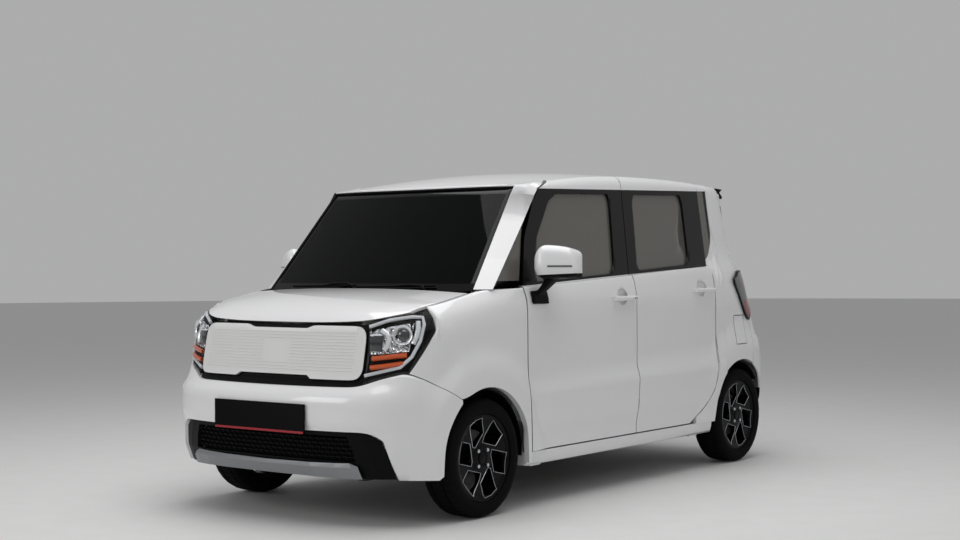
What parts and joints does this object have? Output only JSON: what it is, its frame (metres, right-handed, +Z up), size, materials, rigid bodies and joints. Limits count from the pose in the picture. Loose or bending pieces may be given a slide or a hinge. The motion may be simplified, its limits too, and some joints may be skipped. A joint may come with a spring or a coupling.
{
  "type": "boxy city car",
  "caption": "Tall boxy city car with a hollow cabin, opening doors, bonnet and tailgate, steered front wheels and free-rolling wheels.",
  "frame": {"origin": "bottom centre of the bounding box, on the ground midway along and across the car", "axes": "+X to the car's left, -Y to its nose, +Z up"},
  "size_m": [1.9656, 3.595, 1.6999],
  "materials": {
    "body_paint": "gloss",
    "inner_paint": "satin",
    "black_plastic": "matte",
    "silver_plastic": "satin",
    "lamp_clear": "clear",
    "lamp_red": "gloss",
    "tinted_glass": "tinted",
    "chassis_steel": "matte",
    "engine_iron": "matte",
    "cabin_plastic": "matte",
    "seat_fabric": "woven",
    "alloy": "gloss black with machined edges",
    "tyre_rubber": "matte"
  },
  "bodies": {
    "shell": {"floor_pan": "inner_paint", "front_body": "inner_paint", "side_sills": "body_paint", "hinge_posts": "inner_paint", "side_rails": "body_paint", "centre_pillar": "inner_paint", "roof_panel": "body_paint", "quarter_left": "body_paint", "quarter_right": "body_paint", "front_fenders": "body_paint", "front_bumper": "body_paint", "lower_grille": "black_plastic", "skid_plate": "silver_plastic", "grille_surround": "black_plastic", "grille_panel": "body_paint", "headlamps": "lamp_clear", "cowl": "black_plastic", "windscreen": "tinted_glass", "quarter_glass": "tinted_glass", "rear_bumper": "body_paint", "tail_lamps": "lamp_red", "wheel_liners": "black_plastic", "engine": "engine_iron", "front_subframe": "chassis_steel", "rear_axle": "chassis_steel", "fuel_tank": "black_plastic", "exhaust": "chassis_steel", "dashboard": "cabin_plastic", "front_seats": "seat_fabric", "rear_seat": "seat_fabric", "door_rear_right": "body_paint", "glass_rear_right": "tinted_glass"},
    "front_left_door": {"door_front_left": "body_paint", "glass_front_left": "tinted_glass", "mirror_left": "body_paint"},
    "front_right_door": {"door_front_right": "body_paint", "glass_front_right": "tinted_glass", "mirror_right": "body_paint"},
    "rear_left_door": {"door_rear_left": "body_paint", "glass_rear_left": "tinted_glass"},
    "bonnet": {"hood": "body_paint"},
    "gate": {"tailgate": "body_paint", "gate_glass": "tinted_glass", "spoiler": "body_paint"},
    "flap": {"fuel_flap": "body_paint"},
    "left_knuckle": {"knuckle_left": "chassis_steel"},
    "right_knuckle": {"knuckle_right": "chassis_steel"},
    "front_left_wheel": {"rim_front_left": "alloy", "tyre_front_left": "tyre_rubber"},
    "front_right_wheel": {"rim_front_right": "alloy", "tyre_front_right": "tyre_rubber"},
    "rear_left_wheel": {"rim_rear_left": "alloy", "tyre_rear_left": "tyre_rubber"},
    "rear_right_wheel": {"rim_rear_right": "alloy", "tyre_rear_right": "tyre_rubber"},
    "steering": {"steering_wheel": "cabin_plastic"}
  },
  "joints": [
    {"name": "front_left_door_hinge", "type": "hinge", "parent": "shell", "child": "front_left_door", "pos_m": [0.7675, -0.7295, 0.655], "axis": [0, 0, -1], "range_deg": [0, 65]},
    {"name": "front_right_door_hinge", "type": "hinge", "parent": "shell", "child": "front_right_door", "pos_m": [-0.7675, -0.7295, 0.655], "axis": [0, 0, 1], "range_deg": [0, 65]},
    {"name": "rear_left_door_hinge", "type": "hinge", "parent": "shell", "child": "rear_left_door", "pos_m": [0.7675, 0.28, 0.655], "axis": [0, 0, -1], "range_deg": [0, 65]},
    {"name": "bonnet_hinge", "type": "hinge", "parent": "shell", "child": "bonnet", "pos_m": [0, -1.1425, 1.022], "axis": [-1, 0, 0], "range_deg": [0, 50]},
    {"name": "gate_hinge", "type": "hinge", "parent": "shell", "child": "gate", "pos_m": [0, 1.3955, 1.66426], "axis": [1, 0, 0], "range_deg": [0, 85]},
    {"name": "flap_hinge", "type": "hinge", "parent": "shell", "child": "flap", "pos_m": [0.7785, 1.3575, 0.7875], "axis": [0, 0, -1], "range_deg": [0, 90]},
    {"name": "steering_turn", "type": "hinge", "parent": "shell", "child": "steering", "pos_m": [0.35, -0.4545, 0.985], "axis": [0, 0.9063, 0.4226], "range_deg": [-540, 540]},
    {"name": "steer_left", "type": "hinge", "parent": "shell", "child": "left_knuckle", "pos_m": [0.674, -1.1225, 0.278], "axis": [0, 0, 1], "range_deg": [-35, 35]},
    {"name": "steer_right", "type": "hinge", "parent": "shell", "child": "right_knuckle", "pos_m": [-0.674, -1.1225, 0.278], "axis": [0, 0, 1], "range_deg": [-35, 35]},
    {"name": "front_left_roll", "type": "hinge", "parent": "left_knuckle", "child": "front_left_wheel", "pos_m": [0.704, -1.1225, 0.278], "axis": [1, 0, 0], "continuous": true},
    {"name": "front_right_roll", "type": "hinge", "parent": "right_knuckle", "child": "front_right_wheel", "pos_m": [-0.704, -1.1225, 0.278], "axis": [1, 0, 0], "continuous": true},
    {"name": "rear_left_roll", "type": "hinge", "parent": "shell", "child": "rear_left_wheel", "pos_m": [0.704, 1.3975, 0.278], "axis": [1, 0, 0], "continuous": true},
    {"name": "rear_right_roll", "type": "hinge", "parent": "shell", "child": "rear_right_wheel", "pos_m": [-0.704, 1.3975, 0.278], "axis": [1, 0, 0], "continuous": true}
  ],
  "couplings": [
    {"joint": "steer_left", "follows": "steering_turn", "ratio": 0.064815},
    {"joint": "steer_right", "follows": "steering_turn", "ratio": 0.064815}
  ]
}
